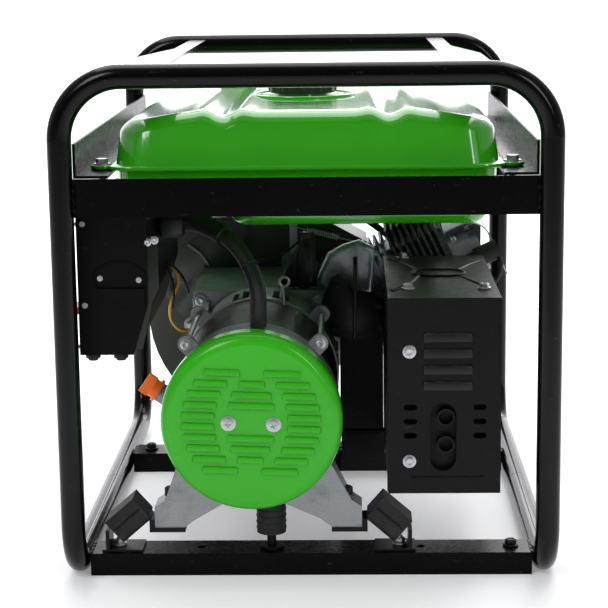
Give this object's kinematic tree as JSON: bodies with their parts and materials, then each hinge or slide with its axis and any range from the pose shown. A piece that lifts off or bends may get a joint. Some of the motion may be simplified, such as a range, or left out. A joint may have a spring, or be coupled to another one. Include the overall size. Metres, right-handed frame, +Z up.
{
  "type": "open-frame portable generator",
  "caption": "Open tube-frame petrol generator: tilted engine, louvred alternator cover, green tank, muffler shield, control panel and rubber mounts.",
  "frame": {"origin": "on the floor below the middle of the tube frame", "axes": "+Z up, +Y from the alternator end to the recoil starter end, +X towards the muffler side"},
  "size_m": [0.53, 0.69, 0.555],
  "materials": {
    "frame_black": "gloss black powder coat over steel tube and sheet",
    "dark_steel": "dark steel seam ring",
    "tank_green": "gloss green enamel on pressed sheet",
    "cover_green": "gloss green enamel on pressed sheet",
    "zinc": "bright zinc plated fasteners",
    "rubber": "black moulded rubber",
    "black_plastic": "black moulded plastic",
    "brass": "brass valve body",
    "cast_aluminium": "die cast aluminium, bead blasted",
    "plug_metal": "bright plated metal",
    "rope": "braided nylon starter rope",
    "machined_steel": "turned steel",
    "flywheel_iron": "cast iron flywheel",
    "orange_plastic": "orange moulded plastic",
    "filter_foam": "pleated paper and foam",
    "exhaust_steel": "heat stained steel",
    "muffler_black": "satin black heat resistant paint",
    "stator_steel": "varnished lamination pack",
    "panel_grey": "satin dark grey powder coat",
    "meter_white": "white dial behind a clear lens",
    "switch_red": "red rotary switch"
  },
  "bodies": {
    "root": {"front_hoop": "frame_black", "rear_hoop": "frame_black", "rail_sleeves": "dark_steel", "cross_channels": "frame_black", "fuel_hose": "rubber", "tank_support_rails": "frame_black", "top_straps": "frame_black", "fuel_tank": "tank_green", "tank_bolts": "zinc", "wiring_loom": "rubber", "fuel_gauge": "black_plastic", "fuel_valve": "brass", "crankcase": "cast_aluminium", "crankcase_cover": "cast_aluminium", "cylinder_block": "cast_aluminium", "cylinder_head": "cast_aluminium", "valve_cover": "cast_aluminium", "head_shroud": "cover_green", "spark_plug": "plug_metal", "fan_housing": "cover_green", "recoil_housing": "cover_green", "carburetor": "cast_aluminium", "air_cleaner_base": "black_plastic", "air_filter_element": "filter_foam", "exhaust_pipe": "exhaust_steel", "muffler": "exhaust_steel", "muffler_shield": "muffler_black", "outlet_pipes": "exhaust_steel", "heat_shield": "frame_black", "adapter_bell": "cast_aluminium", "stator": "stator_steel", "end_bell": "cast_aluminium", "end_cover": "cover_green", "end_bearing": "machined_steel", "voltage_regulator": "black_plastic", "rubber_mounts": "rubber", "mount_brackets": "frame_black", "panel_box": "panel_grey", "panel_face": "panel_grey", "voltmeter": "meter_white"},
    "rotor_group": {"crankshaft": "machined_steel", "flywheel": "flywheel_iron", "rotor": "machined_steel"},
    "camshaft_body": {"camshaft": "machined_steel"},
    "starter_handle": {"recoil_handle": "black_plastic", "recoil_rope": "rope"},
    "starter_pulley": {"recoil_pulley": "black_plastic"},
    "cap_lift": {"fuel_cap_plug": "rubber"},
    "cap_turn": {"fuel_cap": "black_plastic"},
    "fuel_lever": {"fuel_valve_lever": "black_plastic"},
    "choke": {"choke_lever": "black_plastic"},
    "switch": {"engine_switch": "switch_red"},
    "main_breaker": {"breaker_lever": "black_plastic"},
    "dc_breaker": {"dc_breaker_button": "plug_metal"},
    "cover_left": {"outlet_cover_left": "black_plastic"},
    "cover_right": {"outlet_cover_right": "black_plastic"},
    "governor": {"governor_arm": "zinc"},
    "oil_cap": {"oil_filler_cap": "orange_plastic"},
    "air_cover": {"air_cleaner_cover": "black_plastic"},
    "plug_cap": {"plug_boot": "rubber"}
  },
  "joints": [
    {"name": "rotor_spin", "type": "hinge", "parent": "root", "child": "rotor_group", "pos_m": [-0.061, 0, 0.1755], "axis": [0, 1, 0], "continuous": true},
    {"name": "camshaft_spin", "type": "hinge", "parent": "root", "child": "camshaft_body", "pos_m": [-0.081, 0, 0.1189], "axis": [0, 1, 0], "continuous": true},
    {"name": "starter_pull", "type": "slide", "parent": "root", "child": "starter_handle", "axis": [-1, 0, 0], "range_m": [0, 0.55]},
    {"name": "starter_pulley_turn", "type": "hinge", "parent": "root", "child": "starter_pulley", "pos_m": [-0.061, 0.265, 0.1755], "axis": [0, 1, 0], "range_deg": [-800, 0]},
    {"name": "fuel_cap_lift", "type": "slide", "parent": "root", "child": "cap_lift", "axis": [0, 0, 1], "range_m": [0, 0.12]},
    {"name": "fuel_cap_turn", "type": "hinge", "parent": "cap_lift", "child": "cap_turn", "pos_m": [-0.009, -0.06, 0.5], "axis": [0, 0, 1], "range_deg": [0, 90]},
    {"name": "fuel_valve_turn", "type": "hinge", "parent": "root", "child": "fuel_lever", "pos_m": [-0.1993, 0.13, 0.376], "axis": [1, 0, 0], "range_deg": [-90, 0]},
    {"name": "choke_turn", "type": "hinge", "parent": "root", "child": "choke", "pos_m": [0.173, 0.162, 0.282], "axis": [1, 0, 0], "range_deg": [0, 60]},
    {"name": "engine_switch_turn", "type": "hinge", "parent": "root", "child": "switch", "pos_m": [-0.243, -0.245, 0.286], "axis": [-1, 0, 0], "range_deg": [0, 60]},
    {"name": "main_breaker_flip", "type": "hinge", "parent": "root", "child": "main_breaker", "pos_m": [-0.235, -0.19, 0.352], "axis": [0, -1, 0], "range_deg": [-40, 0]},
    {"name": "dc_breaker_push", "type": "slide", "parent": "root", "child": "dc_breaker", "axis": [1, 0, 0], "range_m": [0, 0.004], "stiffness_N_per_m": 600},
    {"name": "outlet_cover_left_flip", "type": "hinge", "parent": "root", "child": "cover_left", "pos_m": [-0.248, -0.104, 0.383], "axis": [0, 1, 0], "range_deg": [0, 110]},
    {"name": "outlet_cover_right_flip", "type": "hinge", "parent": "root", "child": "cover_right", "pos_m": [-0.248, -0.016, 0.383], "axis": [0, 1, 0], "range_deg": [0, 110]},
    {"name": "governor_swing", "type": "hinge", "parent": "root", "child": "governor", "pos_m": [-0.028, 0.133, 0.276], "axis": [0, 1, 0], "range_deg": [-15, 15], "stiffness_Nm_per_rad": 0.05},
    {"name": "oil_cap_pull", "type": "slide", "parent": "root", "child": "oil_cap", "axis": [-0.8192, 0, 0.5736], "range_m": [0, 0.06]},
    {"name": "air_cover_pull", "type": "slide", "parent": "root", "child": "air_cover", "axis": [0, 1, 0], "range_m": [0, 0.25]},
    {"name": "plug_cap_pull", "type": "slide", "parent": "root", "child": "plug_cap", "axis": [0.9063, 0, 0.4226], "range_m": [0, 0.03]}
  ],
  "couplings": [
    {"joint": "camshaft_spin", "follows": "rotor_spin", "ratio": -0.5},
    {"joint": "starter_pulley_turn", "follows": "starter_pull", "rad_per_m": -25}
  ]
}
